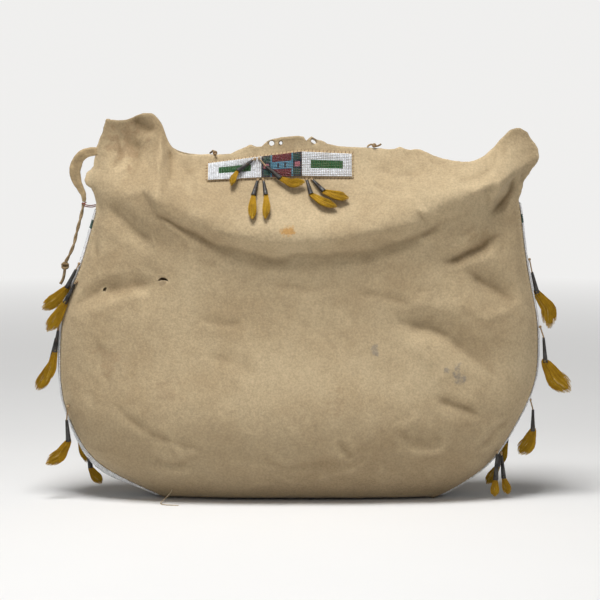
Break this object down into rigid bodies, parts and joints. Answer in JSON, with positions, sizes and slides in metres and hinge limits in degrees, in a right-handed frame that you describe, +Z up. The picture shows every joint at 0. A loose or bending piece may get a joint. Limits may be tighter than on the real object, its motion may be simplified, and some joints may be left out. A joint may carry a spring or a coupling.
{
  "type": "tipi bag",
  "caption": "Soft hide tipi bag with beaded gussets, a beaded strip under its open mouth, and swinging tin cones with dyed feather tufts.",
  "frame": {"origin": "middle of the flat base, on the floor", "axes": "+Z up, +X along the bag's length to the right as seen from the front, front faces -Y"},
  "size_m": [0.617, 0.1542, 0.4441],
  "materials": {
    "hide": "buff brain-tanned hide, napped and stained",
    "strap": "darker, stiff hide",
    "sinew": "twisted sinew thread",
    "white_beads": "opaque white seed beads",
    "green_beads": "opaque green seed beads",
    "navy_beads": "opaque dark blue seed beads",
    "blue_beads": "opaque light blue seed beads",
    "tin": "rolled tin, tarnished",
    "feather": "dyed feather tufts on hide thongs"
  },
  "bodies": {
    "bag": {"hide_body": "hide", "left_gusset": "hide", "left_gusset_beadwork": "white_beads", "right_gusset": "hide", "right_gusset_beadwork": "white_beads", "strip_backing": "hide", "strip_white_left": "white_beads", "strip_green_left": "green_beads", "strip_white_right": "white_beads", "strip_green_right": "green_beads", "strip_centre": "navy_beads", "strip_centre_band": "blue_beads", "side_strap": "strap", "tie_cord": "strap", "tie_knot": "strap", "rim_tie_left": "strap", "rim_tie_right": "strap", "loose_sinew": "sinew"},
    "strip_1": {"strip_1_tassel": "feather", "strip_1_cone": "tin"},
    "strip_2": {"strip_2_tassel": "feather", "strip_2_cone": "tin"},
    "strip_3": {"strip_3_tassel": "feather", "strip_3_cone": "tin"},
    "strip_4": {"strip_4_tassel": "feather", "strip_4_cone": "tin"},
    "strip_5": {"strip_5_tassel": "feather", "strip_5_cone": "tin"},
    "strip_6": {"strip_6_tassel": "feather", "strip_6_cone": "tin"},
    "left_1": {"left_1_tassel": "feather", "left_1_cone": "tin"},
    "left_2": {"left_2_tassel": "feather", "left_2_cone": "tin"},
    "left_3": {"left_3_tassel": "feather", "left_3_cone": "tin"},
    "left_4": {"left_4_tassel": "feather", "left_4_cone": "tin"},
    "left_5": {"left_5_tassel": "feather", "left_5_cone": "tin"},
    "right_1": {"right_1_tassel": "feather", "right_1_cone": "tin"},
    "right_2": {"right_2_tassel": "feather", "right_2_cone": "tin"},
    "right_3": {"right_3_tassel": "feather", "right_3_cone": "tin"},
    "right_4": {"right_4_tassel": "feather", "right_4_cone": "tin"},
    "right_5": {"right_5_tassel": "feather", "right_5_cone": "tin"},
    "back_1": {"back_1_tassel": "feather", "back_1_cone": "tin"},
    "back_2": {"back_2_tassel": "feather", "back_2_cone": "tin"},
    "back_3": {"back_3_tassel": "feather", "back_3_cone": "tin"},
    "back_4": {"back_4_tassel": "feather", "back_4_cone": "tin"}
  },
  "joints": [
    {"name": "strip_1_swing", "type": "hinge", "parent": "bag", "child": "strip_1", "pos_m": [-0.05124, -0.02222, 0.39022], "axis": [-1, 0, 0], "range_deg": [0, 80]},
    {"name": "strip_2_swing", "type": "hinge", "parent": "bag", "child": "strip_2", "pos_m": [-0.04626, -0.02186, 0.39082], "axis": [-1, 0, 0], "range_deg": [0, 80]},
    {"name": "strip_3_swing", "type": "hinge", "parent": "bag", "child": "strip_3", "pos_m": [-0.04768, -0.03069, 0.36689], "axis": [-1, 0, 0], "range_deg": [0, 80]},
    {"name": "strip_4_swing", "type": "hinge", "parent": "bag", "child": "strip_4", "pos_m": [-0.04158, -0.03026, 0.36706], "axis": [-1, 0, 0], "range_deg": [0, 80]},
    {"name": "strip_5_swing", "type": "hinge", "parent": "bag", "child": "strip_5", "pos_m": [0.0073, -0.02914, 0.3678], "axis": [-1, 0, 0], "range_deg": [0, 80]},
    {"name": "strip_6_swing", "type": "hinge", "parent": "bag", "child": "strip_6", "pos_m": [0.01325, -0.02945, 0.36776], "axis": [-1, 0, 0], "range_deg": [0, 80]},
    {"name": "left_1_swing", "type": "hinge", "parent": "bag", "child": "left_1", "pos_m": [-0.25425, -0.02432, 0.25093], "axis": [0, 1, 0], "range_deg": [0, 60]},
    {"name": "left_2_swing", "type": "hinge", "parent": "bag", "child": "left_2", "pos_m": [-0.25188, -0.01909, 0.27093], "axis": [0, 1, 0], "range_deg": [0, 60]},
    {"name": "left_3_swing", "type": "hinge", "parent": "bag", "child": "left_3", "pos_m": [-0.27465, -0.01904, 0.20429], "axis": [0, 1, 0], "range_deg": [0, 60]},
    {"name": "left_4_swing", "type": "hinge", "parent": "bag", "child": "left_4", "pos_m": [-0.27787, -0.00715, 0.19614], "axis": [0, 1, 0], "range_deg": [0, 60]},
    {"name": "left_5_swing", "type": "hinge", "parent": "bag", "child": "left_5", "pos_m": [-0.2651, -0.0282, 0.10836], "axis": [0, 1, 0], "range_deg": [-8, 60]},
    {"name": "right_1_swing", "type": "hinge", "parent": "bag", "child": "right_1", "pos_m": [0.26195, -0.01429, 0.27551], "axis": [0, -1, 0], "range_deg": [0, 60]},
    {"name": "right_2_swing", "type": "hinge", "parent": "bag", "child": "right_2", "pos_m": [0.27468, -0.01782, 0.19846], "axis": [0, -1, 0], "range_deg": [0, 60]},
    {"name": "right_3_swing", "type": "hinge", "parent": "bag", "child": "right_3", "pos_m": [0.26527, -0.00705, 0.11279], "axis": [0, -1, 0], "range_deg": [0, 60]},
    {"name": "right_4_swing", "type": "hinge", "parent": "bag", "child": "right_4", "pos_m": [0.22587, -0.02802, 0.05587], "axis": [0, -1, 0], "range_deg": [0, 60]},
    {"name": "right_5_swing", "type": "hinge", "parent": "bag", "child": "right_5", "pos_m": [0.23147, -0.01776, 0.05293], "axis": [0, -1, 0], "range_deg": [0, 60]},
    {"name": "back_1_swing", "type": "hinge", "parent": "bag", "child": "back_1", "pos_m": [-0.25937, 0.02819, 0.09228], "axis": [0, 1, 0], "range_deg": [0, 60]},
    {"name": "back_2_swing", "type": "hinge", "parent": "bag", "child": "back_2", "pos_m": [-0.24726, 0.01823, 0.052], "axis": [0, 1, 0], "range_deg": [0, 60]},
    {"name": "back_3_swing", "type": "hinge", "parent": "bag", "child": "back_3", "pos_m": [0.24309, 0.02802, 0.08522], "axis": [0, -1, 0], "range_deg": [0, 60]},
    {"name": "back_4_swing", "type": "hinge", "parent": "bag", "child": "back_4", "pos_m": [0.23373, 0.01775, 0.05581], "axis": [0, -1, 0], "range_deg": [0, 60]}
  ]
}
